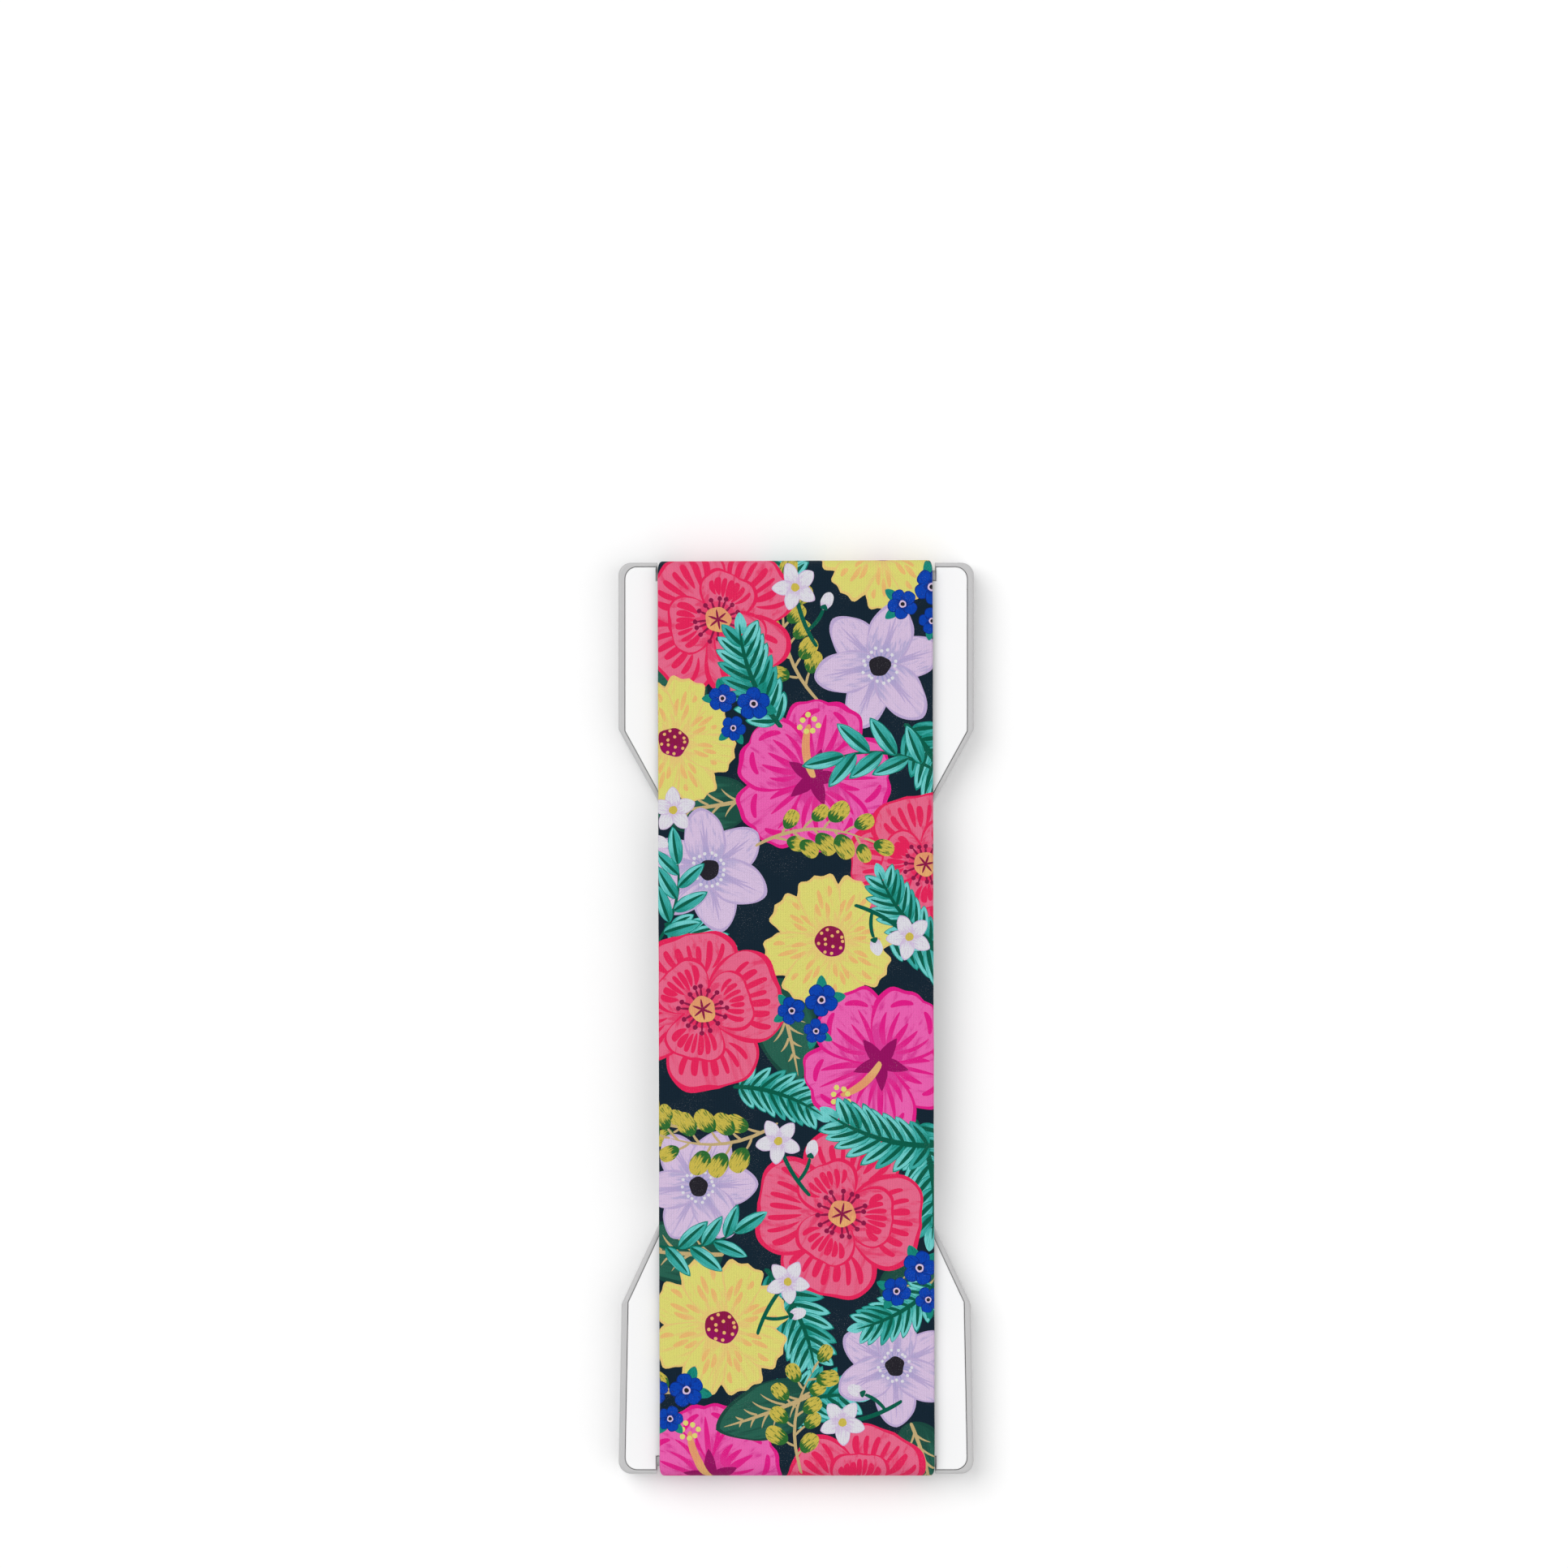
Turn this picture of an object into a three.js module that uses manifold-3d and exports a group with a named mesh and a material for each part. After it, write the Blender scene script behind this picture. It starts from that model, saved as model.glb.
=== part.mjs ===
// A phone finger strap. Its flat moulded base, wide at both ends and narrow at the waist, is stuck on
// with a foam pad. A printed elastic strap lies flat along the base, wraps round a rounded bar in each
// end of it, and is held underneath by a keeper on four staked posts.
//
// Millimetres. X runs across the strap, +Y along it towards its upper end, and +Z out from the surface
// that it is stuck to. The origin is the middle of the pad's sticky face.

import * as THREE from "three";
import { mergeVertices } from "three/addons/utils/BufferGeometryUtils.js";
import Module from "manifold-3d";

const wasm = await Module();
wasm.setup();

// Base outline
const baseLength = 100.5;
const baseWidth = 39.2;
const lowerShoulderWidth = 38.5; // the lower wings narrow a little towards the waist
const upperWingLength = 18.4; // from the end to the shoulder
const lowerWingLength = 18.7;
const upperTaper = THREE.MathUtils.degToRad(28.8); // away from the long axis
const lowerTaper = THREE.MathUtils.degToRad(25);
const waistWidth = 24;
const cornerRadius = 1.4;
const shoulderRadius = 0.8;
const waistRadius = 4;
const smallestRadius = 0.2; // of a corner that an inset has tightened
const plateEdgeRound = 0.3;

// Face sheet, let into the top of the base inside a narrow rim
const sideRim = 0.75;
const taperRim = 0.58;
const endRim = 0.5;
const sheetCornerRadius = 1.3;
const sheetThickness = 0.5;
const sheetEdgeBreak = 0.08;
const sheetClearance = 0.08;

// Strap
const strapWidth = 30.3;
const strapThickness = 1;
const selvedgeRound = 0.35;
const foldStandOut = 0.22; // how far each fold stands out past the end of the base
const strapEase = 0.05; // between the strap and all that it lies against
const strapSideClearance = 0.2;
const tailPastStakes = 5;

// Bars that the strap turns round
const barThickness = 1.3;
const barLand = 0.45; // flat of the bar between its rounded edge and the face sheet
const barRoot = 0.08; // how far the bar runs into the base beside the notch

// Keepers and the posts staked over them, in a pocket under each end
const keeperThickness = 0.8;
const keeperLength = 9;
const keeperClearance = 0.15;
const keeperCornerRadius = 1;
const stakeInset = 7.65; // from the end of the base to the row of posts
const stakeEdge = 3.75; // from the strap's edge to the outer posts
const stakeCount = 4;
const stakeRadius = 0.7;
const stakeHeadRadius = 1.15;
const stakeHeadRim = 0.15; // straight edge of the head, below its cone
const stakeHoleClearance = 0.1;
const stakeRoot = 0.325; // how far a post runs up into the base
const pocketEndClearance = 0.4;
const pocketCornerRadius = 0.6;

// Foam pad
const padThickness = 0.8;
const padInset = 1;

// Levels above the phone
const plateBottom = padThickness;
const tailBottom = plateBottom + keeperThickness + strapEase;
const tailTop = tailBottom + strapThickness;
const pocketRoof = tailTop + strapEase;
const plateTop = pocketRoof + barThickness;
const sheetBottom = plateTop - sheetThickness;

// Places along the base, out from its middle
const baseEnd = baseLength / 2;
const foldEnd = baseEnd + foldStandOut;
const barRadius = barThickness / 2;
const barCentre = foldEnd - strapThickness - strapEase - barRadius;
const barHeight = pocketRoof + barRadius;
const stakeRow = baseEnd - stakeInset;
const tailTip = stakeRow - tailPastStakes;
const pocketWall = tailTip - pocketEndClearance;
const notchHalf = strapWidth / 2 + strapSideClearance;
const overshoot = 1; // how far a cutter runs past the face that it opens

// Facets
const cornerFacets = 10; // round each corner of an outline
const edgeFacets = 3; // down a rounded edge
const barFacets = 32;
const stakeFacets = 20;
const foldFacets = 18; // round each half turn of the strap
const selvedgeFacets = 4;

// A closed geometry as a solid that can be joined and cut.
function solid(geometry) {
  const bare = geometry.clone();
  bare.deleteAttribute("normal");
  bare.deleteAttribute("uv");
  const merged = mergeVertices(bare);
  return new wasm.Manifold(
    new wasm.Mesh({
      numProp: 3,
      vertProperties: merged.attributes.position.array,
      triVerts: new Uint32Array(merged.index.array),
    }),
  );
}

// A solid back as a geometry with flat faces.
function geometry(made) {
  const mesh = made.getMesh();
  const shared = new THREE.BufferGeometry();
  shared.setAttribute("position", new THREE.BufferAttribute(mesh.vertProperties, 3));
  shared.setIndex(new THREE.BufferAttribute(mesh.triVerts, 1));
  const faceted = shared.toNonIndexed();
  faceted.computeVertexNormals();
  return faceted;
}

// A closed outline through the corners, each rounded to its own radius.
function roundedOutline(corners) {
  const outline = new THREE.Shape();
  corners.forEach(([x, y, radius], i) => {
    const corner = new THREE.Vector2(x, y);
    const toward = (other) => new THREE.Vector2(other[0], other[1]).sub(corner).normalize();
    const back = toward(corners.at(i - 1));
    const ahead = toward(corners[(i + 1) % corners.length]);
    if (radius === 0) {
      if (i === 0) outline.moveTo(x, y);
      else outline.lineTo(x, y);
      return;
    }
    const halfAngle = Math.acos(THREE.MathUtils.clamp(back.dot(ahead), -1, 1)) / 2;
    const toCentre = back.clone().add(ahead).setLength(radius / Math.sin(halfAngle));
    const centre = corner.clone().add(toCentre);
    const start = corner.clone().addScaledVector(back, radius / Math.tan(halfAngle));
    const end = corner.clone().addScaledVector(ahead, radius / Math.tan(halfAngle));
    if (i === 0) outline.moveTo(start.x, start.y);
    else outline.lineTo(start.x, start.y);
    const clockwise = back.cross(ahead) > 0;
    const from = start.sub(centre).angle();
    const to = end.sub(centre).angle();
    outline.absarc(centre.x, centre.y, radius, from, to, clockwise);
  });
  outline.closePath();
  return outline;
}

// An upright slab of an outline, its top and bottom edges rounded or, with one facet, broken.
function slab(outline, bottom, top, round = 0, facets = edgeFacets) {
  const shape = new THREE.ExtrudeGeometry(outline, {
    depth: top - bottom - 2 * round,
    curveSegments: cornerFacets / 2, // an arc gets two facets for each
    bevelEnabled: round > 0,
    bevelThickness: round,
    bevelSize: round,
    bevelOffset: -round,
    bevelSegments: facets,
  });
  return shape.translate(0, 0, bottom + round);
}

function roundedRectangle(halfX, halfY, radius) {
  return roundedOutline([
    [halfX, -halfY, radius],
    [halfX, halfY, radius],
    [-halfX, halfY, radius],
    [-halfX, -halfY, radius],
  ]);
}

// The right half of the base's outline, from the lower end to the upper one, taken in from its sides,
// tapers and ends by the amounts in inset, which also has the end corners' radius. Each corner is x, y
// and its radius.
function rightSide(inset) {
  const side = baseWidth / 2 - inset.side;
  const lowerSide = lowerShoulderWidth / 2 - inset.side;
  const waist = waistWidth / 2 - inset.side;
  const end = baseEnd - inset.end;
  // Taking the sides and tapers in moves both corners of a taper along the base.
  const shift = (taper) => (inset.taper - inset.side * Math.cos(taper)) / Math.sin(taper);
  const lowerShoulder = -baseEnd + lowerWingLength - shift(lowerTaper);
  const upperShoulder = baseEnd - upperWingLength + shift(upperTaper);
  const lowerWaist = lowerShoulder + (lowerSide - waist) / Math.tan(lowerTaper);
  const upperWaist = upperShoulder - (side - waist) / Math.tan(upperTaper);
  const corner = Math.max(inset.corner, smallestRadius);
  const shoulder = Math.max(shoulderRadius - inset.side, smallestRadius);
  return [
    [side, -end, corner],
    [lowerSide, lowerShoulder, shoulder],
    [waist, lowerWaist, waistRadius + inset.side],
    [waist, upperWaist, waistRadius + inset.side],
    [side, upperShoulder, shoulder],
    [side, end, corner],
  ];
}

const mirrored = (corners) => corners.map(([x, y, radius]) => [-x, y, radius]).reverse();

function baseOutline(inset) {
  const right = rightSide(inset);
  return roundedOutline([...right, ...mirrored(right)]);
}

// The same outline with the strap's notch in each end, its floor so far out from the middle.
function notchedOutline(inset, notchHalfWidth, notchFloor) {
  const end = baseEnd - inset.end;
  const right = [
    [notchHalfWidth, -notchFloor, 0],
    [notchHalfWidth, -end, 0],
    ...rightSide(inset),
    [notchHalfWidth, end, 0],
    [notchHalfWidth, notchFloor, 0],
  ];
  return roundedOutline([...right, ...mirrored(right)]);
}

// A post with its flattened head down, the head's rim at the given level. With a clearance it is the
// cutter for a keeper's countersunk hole.
function stake(clearance, bottom, rimLevel, top) {
  const radius = stakeRadius + clearance;
  const headRadius = stakeHeadRadius + clearance;
  const profile = [
    [0, bottom],
    [headRadius, bottom],
    [headRadius, rimLevel],
    [radius, rimLevel + headRadius - radius],
    [radius, top],
    [0, top],
  ];
  const post = new THREE.LatheGeometry(
    profile.map(([r, z]) => new THREE.Vector2(r, z)),
    stakeFacets,
  );
  return post.rotateX(Math.PI / 2); // the lathe turns about Y: its axis becomes Z
}

function stakePlaces() {
  const span = strapWidth - 2 * stakeEdge;
  return Array.from({ length: stakeCount }, (_, i) => -span / 2 + (span * i) / (stakeCount - 1));
}

// How far the edge of the face sheet, or of the recess round it, lies inside the base's.
function sheetInset(clearance) {
  return {
    side: sideRim - clearance,
    taper: taperRim - clearance,
    end: endRim - clearance,
    corner: sheetCornerRadius + clearance,
  };
}

function basePlate() {
  const outline = baseOutline({ side: 0, taper: 0, end: 0, corner: cornerRadius });
  let plate = solid(slab(outline, plateBottom, plateTop, plateEdgeRound));
  for (const end of [-1, 1]) {
    // Pocket for the strap's tail and the keeper, open to the phone side and to the end.
    const pocketEnd = baseEnd + overshoot;
    const pocketOutline = roundedRectangle(notchHalf, (pocketEnd - pocketWall) / 2, pocketCornerRadius);
    const pocket = slab(pocketOutline, plateBottom - overshoot, pocketRoof);
    pocket.translate(0, (end * (pocketEnd + pocketWall)) / 2, 0);
    plate = plate.subtract(solid(pocket));

    // Notch in the end, then the rounded bar across it.
    const notchDepth = pocketEnd - barCentre;
    const notchHeight = plateTop - pocketRoof + 2 * overshoot;
    const notch = new THREE.BoxGeometry(2 * notchHalf, notchDepth, notchHeight);
    notch.translate(0, end * (barCentre + notchDepth / 2), pocketRoof + notchHeight / 2 - overshoot);
    const bar = new THREE.CylinderGeometry(barRadius, barRadius, 2 * (notchHalf + barRoot), barFacets);
    bar.rotateZ(Math.PI / 2).translate(0, end * barCentre, barHeight);
    plate = plate.subtract(solid(notch)).add(solid(bar));

    for (const x of stakePlaces()) {
      const post = stake(0, plateBottom, plateBottom + stakeHeadRim, pocketRoof + stakeRoot);
      plate = plate.add(solid(post.translate(x, end * stakeRow, 0)));
    }
  }

  // Recess for the face sheet. Its arms beside the strap are open to the notches.
  const recess = notchedOutline(sheetInset(sheetClearance), notchHalf, barCentre - barLand);
  return geometry(plate.subtract(solid(slab(recess, sheetBottom, plateTop + overshoot))));
}

function faceSheet() {
  const sheetNotchFloor = barCentre - barLand - sheetClearance;
  const outline = notchedOutline(sheetInset(0), notchHalf + sheetClearance, sheetNotchFloor);
  return slab(outline, sheetBottom, plateTop, sheetEdgeBreak, 1);
}

// The strap is one band: a straight run on top, a turn round each bar, and a tail in each pocket. Its
// side view is drawn here and given the strap's width, with rounded selvedges.
function strap() {
  const inner = barRadius + strapEase;
  const outer = inner + strapThickness;
  const quarter = Math.PI / 2;
  const sideView = new THREE.Shape();
  sideView.moveTo(tailTip, tailBottom);
  sideView.absarc(barCentre, barHeight, outer, -quarter, quarter, false);
  sideView.absarc(-barCentre, barHeight, outer, quarter, 3 * quarter, false);
  sideView.lineTo(-tailTip, tailBottom);
  sideView.lineTo(-tailTip, tailTop);
  sideView.absarc(-barCentre, barHeight, inner, 3 * quarter, quarter, true);
  sideView.absarc(barCentre, barHeight, inner, quarter, -quarter, true);
  sideView.lineTo(tailTip, tailTop);
  sideView.closePath();
  const band = new THREE.ExtrudeGeometry(sideView, {
    depth: strapWidth - 2 * selvedgeRound,
    curveSegments: foldFacets / 2, // an arc gets two facets for each
    bevelThickness: selvedgeRound,
    bevelSize: selvedgeRound,
    bevelOffset: -selvedgeRound,
    bevelSegments: selvedgeFacets,
  });
  band.translate(0, 0, -strapWidth / 2 + selvedgeRound);
  // The side view's axes become Y and Z, and its depth becomes X.
  const x = new THREE.Vector3(1, 0, 0);
  const y = new THREE.Vector3(0, 1, 0);
  const z = new THREE.Vector3(0, 0, 1);
  band.applyMatrix4(new THREE.Matrix4().makeBasis(y, z, x));

  let punched = solid(band);
  const holeRadius = stakeRadius + stakeHoleClearance;
  const holeDepth = strapThickness + 2 * strapEase;
  for (const end of [-1, 1]) {
    for (const place of stakePlaces()) {
      const hole = new THREE.CylinderGeometry(holeRadius, holeRadius, holeDepth, stakeFacets);
      hole.rotateX(Math.PI / 2).translate(place, end * stakeRow, (tailBottom + tailTop) / 2);
      punched = punched.subtract(solid(hole));
    }
  }
  return geometry(punched);
}

// Drawn about the row of posts, its underside at zero.
function keeper() {
  const halfX = notchHalf - keeperClearance;
  let bar = solid(slab(roundedRectangle(halfX, keeperLength / 2, keeperCornerRadius), 0, keeperThickness));
  for (const x of stakePlaces()) {
    const hole = stake(stakeHoleClearance, -overshoot, stakeHeadRim, keeperThickness + overshoot);
    bar = bar.subtract(solid(hole.translate(x, 0, 0)));
  }
  return geometry(bar);
}

function adhesivePad() {
  const corner = cornerRadius - padInset;
  return slab(baseOutline({ side: padInset, taper: padInset, end: padInset, corner }), 0, padThickness);
}

const greyPlastic = new THREE.MeshStandardMaterial({ color: 0xc3c3c3, roughness: 0.45, metalness: 0 });
const whitePlastic = new THREE.MeshStandardMaterial({ color: 0xf4f4f4, roughness: 0.35, metalness: 0 });
const printedElastic = new THREE.MeshStandardMaterial({ color: 0xb0506e, roughness: 0.85, metalness: 0 });
const steel = new THREE.MeshStandardMaterial({ color: 0xb4b6b8, roughness: 0.35, metalness: 1 });
const foam = new THREE.MeshStandardMaterial({ color: 0x8d8f91, roughness: 0.9, metalness: 0 });

function piece(name, shape, material) {
  const mesh = new THREE.Mesh(shape, material);
  mesh.name = name;
  return mesh;
}

const fingerStrap = new THREE.Group();
fingerStrap.add(
  piece("adhesive_pad", adhesivePad(), foam),
  piece("base_plate", basePlate(), greyPlastic),
  piece("face_sheet", faceSheet(), whitePlastic),
  piece("strap", strap(), printedElastic),
);
for (const [name, end] of [["upper_keeper", 1], ["lower_keeper", -1]]) {
  const bar = piece(name, keeper(), steel);
  bar.position.set(0, end * stakeRow, plateBottom);
  fingerStrap.add(bar);
}

export default fingerStrap;
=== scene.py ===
"""A phone finger strap: a printed elastic strap, wrapped over the ends of a slim base with a foam pad.

The sections follow the object as it is put together, from the foam pad up to the strap, and then the
studio round it. Lengths are metres, apart from the flat print, which is drawn in millimetres.
"""

import math
import random
from functools import partial

import bmesh
import bpy
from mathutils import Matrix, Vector
from mathutils.geometry import delaunay_2d_cdt


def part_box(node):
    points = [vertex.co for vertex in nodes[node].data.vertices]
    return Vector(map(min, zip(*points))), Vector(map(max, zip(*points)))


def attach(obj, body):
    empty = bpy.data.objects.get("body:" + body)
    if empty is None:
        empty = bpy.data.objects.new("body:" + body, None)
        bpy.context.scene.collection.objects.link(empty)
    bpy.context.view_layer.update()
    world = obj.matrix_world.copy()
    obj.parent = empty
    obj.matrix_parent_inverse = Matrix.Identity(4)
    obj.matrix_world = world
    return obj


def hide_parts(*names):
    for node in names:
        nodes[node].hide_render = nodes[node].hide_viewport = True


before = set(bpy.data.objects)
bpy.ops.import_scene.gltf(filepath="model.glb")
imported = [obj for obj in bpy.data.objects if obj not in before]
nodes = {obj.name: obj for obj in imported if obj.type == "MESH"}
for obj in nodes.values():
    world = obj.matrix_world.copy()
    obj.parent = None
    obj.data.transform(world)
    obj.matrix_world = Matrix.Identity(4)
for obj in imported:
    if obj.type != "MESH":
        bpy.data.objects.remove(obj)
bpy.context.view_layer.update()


# Adhesive pad
# A die-cut pad of grey closed-cell acrylic foam with adhesive on both faces. It fixes the base to a flat
# surface. The cut edge shows fine cells, and the face that sticks is smooth and a little glossy.

MM = 0.001


def linear(red, green, blue):
    """A colour written as 0 to 255 screen values, as Blender's linear one."""
    channels = [value / 255 for value in (red, green, blue)]
    return [c / 12.92 if c <= 0.04045 else ((c + 0.055) / 1.055) ** 2.4 for c in channels] + [1]


def put(tree, socket, value):
    """Sets a socket to a plain value, or links it to another node's output."""
    if isinstance(value, bpy.types.NodeSocket):
        tree.links.new(value, socket)
    else:
        socket.default_value = value


def add_node(tree, kind, settings=None, **inputs):
    """Adds a node. A setting is one of its properties, and an input is named with _ for each space."""
    node = tree.nodes.new(kind)
    for name, value in (settings or {}).items():
        setattr(node, name, value)
    for name, value in inputs.items():
        put(tree, node.inputs[name.replace("_", " ")], value)
    return node


def reckon(tree, operation, *values):
    """A Math node's result. It serves shader and geometry trees alike."""
    node = add_node(tree, "ShaderNodeMath", {"operation": operation})
    for socket, value in zip(node.inputs, values):
        put(tree, socket, value)
    return node.outputs[0]


def between(tree, value, low, high, out_low=0.0, out_high=1.0):
    """A value's smooth step from low to high, as a number from out_low to out_high."""
    node = add_node(
        tree, "ShaderNodeMapRange", {"interpolation_type": "SMOOTHSTEP"},
        Value=value, From_Min=low, From_Max=high, To_Min=out_low, To_Max=out_high,
    )
    return node.outputs["Result"]


def blend_colours(tree, share, first, second):
    node = add_node(tree, "ShaderNodeMix", {"data_type": "RGBA"})
    put(tree, node.inputs[0], share)
    put(tree, node.inputs[6], first)
    put(tree, node.inputs[7], second)
    return node.outputs[2]


def new_group(name, inputs, outputs):
    """An empty shader group with named sockets: the tree, its input node and its output node."""
    tree = bpy.data.node_groups.new(name, "ShaderNodeTree")
    for direction, sockets in (("INPUT", inputs), ("OUTPUT", outputs)):
        for label, (kind, default) in sockets.items():
            socket = tree.interface.new_socket(label, in_out=direction, socket_type="NodeSocket" + kind)
            if default is not None:
                socket.default_value = default
    return tree, tree.nodes.new("NodeGroupInput"), tree.nodes.new("NodeGroupOutput")


def use_group(tree, group, **inputs):
    return add_node(tree, "ShaderNodeGroup", {"node_tree": group}, **inputs)


def new_finish(name, **shader_values):
    """A material with one Principled shader. Constant numbers are set on the shader's own sockets."""
    finish = bpy.data.materials.new(name)
    finish.use_nodes = True
    shader = finish.node_tree.nodes["Principled BSDF"]
    for label, value in shader_values.items():
        shader.inputs[label.replace("_", " ")].default_value = value
    return finish, finish.node_tree, shader


def object_place(tree):
    return add_node(tree, "ShaderNodeTexCoord").outputs["Object"]


def feed_bump(tree, shader, height, distance, strength=1.0):
    bump = add_node(tree, "ShaderNodeBump", Height=height, Distance=distance, Strength=strength)
    tree.links.new(bump.outputs["Normal"], shader.inputs["Normal"])


def new_object(name, data):
    made = bpy.data.objects.new(name, data)
    bpy.context.scene.collection.objects.link(made)
    return made


def dress(node_name, finish):
    """Gives a CAD node its finish."""
    piece = nodes[node_name]
    piece.data.materials.clear()
    piece.data.materials.append(finish)


# Fine grain of any fineness: the height for a bump, and a broad variation of colour.
grain, grain_in, grain_out = new_group(
    "fine_grain",
    {"Place": ("Vector", None), "Grain Size": ("Float", 0.0002), "Cloud Size": ("Float", 0.01)},
    {"Height": ("Float", None), "Cloud": ("Float", None)},
)
grain_fine = add_node(
    grain, "ShaderNodeTexNoise", Vector=grain_in.outputs["Place"], Detail=3.0, Roughness=0.6,
    Scale=reckon(grain, "DIVIDE", 1.0, grain_in.outputs["Grain Size"]),
)
grain_cloud = add_node(
    grain, "ShaderNodeTexNoise", Vector=grain_in.outputs["Place"], Detail=2.0,
    Scale=reckon(grain, "DIVIDE", 1.0, grain_in.outputs["Cloud Size"]),
)
put(grain, grain_out.inputs["Height"], grain_fine.outputs[0])
put(grain, grain_out.inputs["Cloud"], grain_cloud.outputs[0])

PAD_GREY = linear(150, 152, 154)
# Painted shade: the darker grey that the open cells are painted, for the shade in their hollows.
PAD_PORE_SHADE = linear(112, 114, 117)
PAD_CELL_SIZE = 0.22 * MM

pad_finish, pad_tree, pad_shader = new_finish("grey_foam", Roughness=0.8, Specular_IOR_Level=0.3)
pad_place = object_place(pad_tree)
pad_cells = add_node(pad_tree, "ShaderNodeTexVoronoi", Vector=pad_place, Scale=1 / PAD_CELL_SIZE)
pad_grain = use_group(pad_tree, grain, Place=pad_place, Grain_Size=0.1 * MM, Cloud_Size=6 * MM)
pad_normal = add_node(pad_tree, "ShaderNodeNewGeometry").outputs["True Normal"]
pad_facing = add_node(pad_tree, "ShaderNodeSeparateXYZ", Vector=pad_normal).outputs["Z"]
pad_edge = between(pad_tree, reckon(pad_tree, "ABSOLUTE", pad_facing), 0.9, 0.5)
pad_pores = between(pad_tree, pad_cells.outputs["Distance"], 0.28, 0.1)
pad_shown_pores = reckon(pad_tree, "MULTIPLY", pad_pores, between(pad_tree, pad_edge, 0, 1, 0.12, 0.9))
# Painted shade: the open cells, mostly on the cut edge, are painted darker, where shade falls in their
# hollows.
pad_colour = blend_colours(pad_tree, pad_shown_pores, PAD_GREY, PAD_PORE_SHADE)
put(pad_tree, pad_shader.inputs["Base Color"], pad_colour)
put(pad_tree, pad_shader.inputs["Roughness"], between(pad_tree, pad_edge, 0, 1, 0.42, 0.9))
pad_relief = reckon(pad_tree, "MULTIPLY_ADD", pad_shown_pores, -0.8, pad_grain.outputs["Height"])
feed_bump(pad_tree, pad_shader, pad_relief, 0.03 * MM)
dress("adhesive_pad", pad_finish)


# Base plate
# The base is one moulding in light grey ABS, waisted in the middle, with a rounded bar across each end
# for the strap to turn on. It has the fine spark-eroded grain of its mould, and it lies on the foam pad.

BASE_GREY = linear(192, 191, 191)
BASE_GREY_SHADE = linear(187, 187, 188)


def grained_plastic(name, grain_size, cloud_size, shades, gloss_from, gloss, relief, **shader_values):
    """Plastic in two close shades, with an uneven gloss that follows its grain or its clouds."""
    finish, tree, shader = new_finish(name, **shader_values)
    surface = use_group(
        tree, grain, Place=object_place(tree), Grain_Size=grain_size, Cloud_Size=cloud_size,
    ).outputs
    put(tree, shader.inputs["Base Color"], blend_colours(tree, surface["Cloud"], *shades))
    put(tree, shader.inputs["Roughness"], between(tree, surface[gloss_from], *gloss))
    feed_bump(tree, shader, surface["Height"], relief)
    return finish


base_finish = grained_plastic(
    "moulded_grey", grain_size=0.12 * MM, cloud_size=9 * MM, shades=(BASE_GREY_SHADE, BASE_GREY),
    gloss_from="Height", gloss=(0.2, 0.8, 0.38, 0.54), relief=0.012 * MM, Roughness=0.45,
)
dress("base_plate", base_finish)


# Face sheet
# A die-cut sheet of white polycarbonate, let in flush with the base's rim and glued there. It is smooth,
# with the faint orange peel of a calendered sheet.

SHEET_WHITE = linear(246, 246, 246)
SHEET_WHITE_SHADE = linear(244, 244, 245)

sheet_finish = grained_plastic(
    "satin_white", grain_size=0.9 * MM, cloud_size=14 * MM, shades=(SHEET_WHITE_SHADE, SHEET_WHITE),
    gloss_from="Cloud", gloss=(0.3, 0.7, 0.3, 0.4), relief=0.01 * MM, Roughness=0.35,
    Specular_IOR_Level=0.3,
)
dress("face_sheet", sheet_finish)


# Keepers
# Two strips of stainless steel, punched and countersunk, lie in the pockets under the ends. The base's
# posts pass through the strap's tails and through them, and are staked into the countersinks.

STEEL = linear(190, 191, 193)
STEEL_SHADE = linear(168, 169, 172)
BRUSH_LENGTH = 6 * MM
BRUSH_WIDTH = 0.08 * MM

keeper_finish, keeper_tree, keeper_shader = new_finish("brushed_steel", Metallic=1.0, Roughness=0.35)
keeper_stretch = add_node(
    keeper_tree, "ShaderNodeMapping", Vector=object_place(keeper_tree),
    Scale=(1 / BRUSH_LENGTH, 1 / BRUSH_WIDTH, 1 / BRUSH_WIDTH),
)
keeper_lines = add_node(
    keeper_tree, "ShaderNodeTexNoise", Vector=keeper_stretch.outputs["Vector"], Scale=1.0, Detail=4.0,
)
put(
    keeper_tree, keeper_shader.inputs["Base Color"],
    blend_colours(keeper_tree, keeper_lines.outputs[0], STEEL_SHADE, STEEL),
)
put(
    keeper_tree, keeper_shader.inputs["Roughness"],
    between(keeper_tree, keeper_lines.outputs[0], 0.3, 0.7, 0.26, 0.42),
)
feed_bump(keeper_tree, keeper_shader, keeper_lines.outputs[0], 0.004 * MM)
for keeper in ("upper_keeper", "lower_keeper"):
    dress(keeper, keeper_finish)


# Strap
# One band of knitted nylon and elastane, printed all over with flowers on navy before it is cut. It lies
# taut on the base, folds round the bar in each end, and its punched tails are held by the staked posts.

STRAP_THICKNESS = 1 * MM
SELVEDGE_RADIUS = 0.35 * MM
TAIL_PAST_POSTS = 5 * MM
POST_SPACING = 7.6 * MM
POST_COUNT = 4
POST_HOLE_RADIUS = 0.8 * MM
FOLD_TUCK = 0.15 * MM  # how far each selvedge draws in where the strap turns
STRAP_LEAN = -0.0024  # the strap lies a little askew, so much across for each unit along
FOLD_TILT = 0.0052  # each unit across moves the upper fold so much along
WAVER = 0.07 * MM  # of the selvedges, as they are cut
WAVER_LENGTH = 9 * MM

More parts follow.
